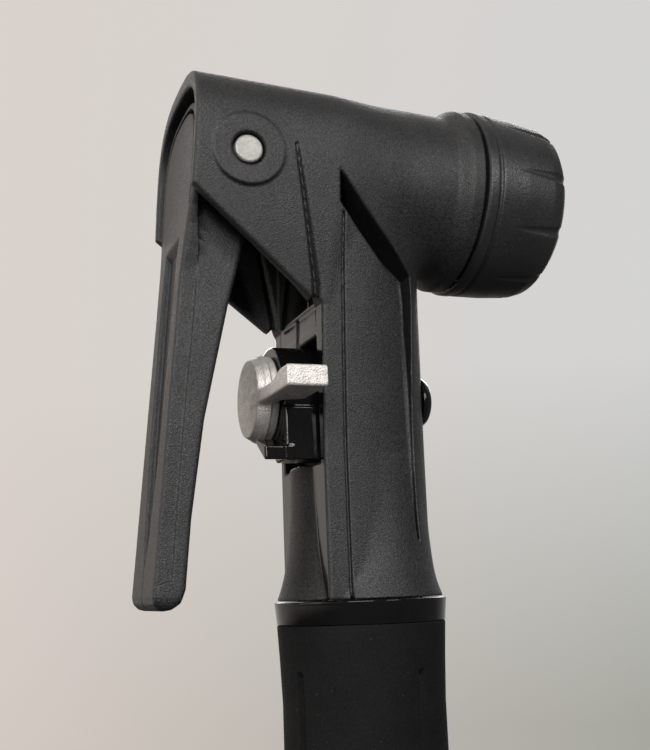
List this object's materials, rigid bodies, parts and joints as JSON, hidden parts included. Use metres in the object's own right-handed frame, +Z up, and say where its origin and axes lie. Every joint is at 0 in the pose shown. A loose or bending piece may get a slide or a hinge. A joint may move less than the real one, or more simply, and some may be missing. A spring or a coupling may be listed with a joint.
{
  "type": "portable tire inflator",
  "caption": "Hand pump with a lever-lock tyre valve head, a rotary selector valve and a telescoping fluted handle.",
  "frame": {"origin": "centre of the flat end of the handle, on which the closed pump stands", "axes": "+Z up along the barrel towards the valve head, +X the way the nozzle points, -Y the side the selector tab points to"},
  "size_m": [0.0599, 0.0316, 0.2505],
  "materials": {
    "textured_black_plastic": "fine spark-eroded grain, matte",
    "satin_black_plastic": "smooth satin moulding",
    "gloss_black_plastic": "polished moulding",
    "black_rubber": "soft matte",
    "cast_silver": "warm silver with a pearly cast grain",
    "steel": "turned and ground",
    "anodised_aluminium": "drawn tube, clear anodised",
    "brass": "machined",
    "white_plastic": "natural acetal"
  },
  "bodies": {
    "head": {"head_housing": "textured_black_plastic", "lever_pin": "steel", "selector_body": "gloss_black_plastic", "check_valve_seat": "brass", "check_valve_spring": "steel", "barrel_tube": "anodised_aluminium", "barrel_gasket": "black_rubber", "barrel_gland": "white_plastic"},
    "lever": {"lock_lever": "textured_black_plastic"},
    "plunger": {"plunger": "white_plastic", "plunger_seal": "black_rubber", "valve_depressor": "brass"},
    "grommet": {"valve_grommet": "black_rubber", "grommet_washer": "white_plastic"},
    "collar": {"nozzle_collar": "satin_black_plastic"},
    "selector": {"selector_knob": "cast_silver", "selector_spindle": "brass", "spindle_seal_rear": "black_rubber", "spindle_seal_front": "black_rubber", "spindle_cap": "gloss_black_plastic"},
    "check_poppet": {"check_valve_poppet": "white_plastic"},
    "seal": {"piston_seal": "black_rubber"},
    "handle": {"handle_sleeve": "black_rubber", "sleeve_guide_ring": "gloss_black_plastic", "handle_end_cap": "satin_black_plastic", "piston_rod": "steel", "piston": "white_plastic", "piston_screw": "steel", "rod_bumper": "black_rubber"}
  },
  "joints": [
    {"name": "lever_hinge", "type": "hinge", "parent": "head", "child": "lever", "pos_m": [-0.01759, 0, 0.23702], "axis": [0, 1, 0], "range_deg": [0, 90]},
    {"name": "plunger_slide", "type": "slide", "parent": "head", "child": "plunger", "axis": [0.9981, 0, -0.061], "range_m": [0, 0.0025]},
    {"name": "collar_advance", "type": "slide", "parent": "head", "child": "grommet", "axis": [0.9981, 0, -0.061], "range_m": [0, 0.0045]},
    {"name": "collar_turn", "type": "hinge", "parent": "grommet", "child": "collar", "pos_m": [0, 0, 0.238], "axis": [0.9981, 0, -0.061], "range_deg": [0, 1080]},
    {"name": "selector_turn", "type": "hinge", "parent": "head", "child": "selector", "pos_m": [0, 0, 0.2068], "axis": [-1, 0, 0], "range_deg": [0, 40]},
    {"name": "check_valve_lift", "type": "slide", "parent": "head", "child": "check_poppet", "axis": [0, 0, 1], "range_m": [0, 0.001], "stiffness_N_per_m": 150, "springref_m": -0.001, "deforming": ["check_valve_spring"]},
    {"name": "handle_slide", "type": "slide", "parent": "head", "child": "seal", "axis": [0, 0, -1], "range_m": [0, 0.144]},
    {"name": "handle_spin", "type": "hinge", "parent": "seal", "child": "handle", "pos_m": [0, 0, 0], "axis": [0, 0, 1], "continuous": true}
  ],
  "couplings": [
    {"joint": "plunger_slide", "follows": "lever_hinge", "m_per_rad": 0.0015915},
    {"joint": "collar_advance", "follows": "collar_turn", "m_per_rad": 0.00023873}
  ]
}
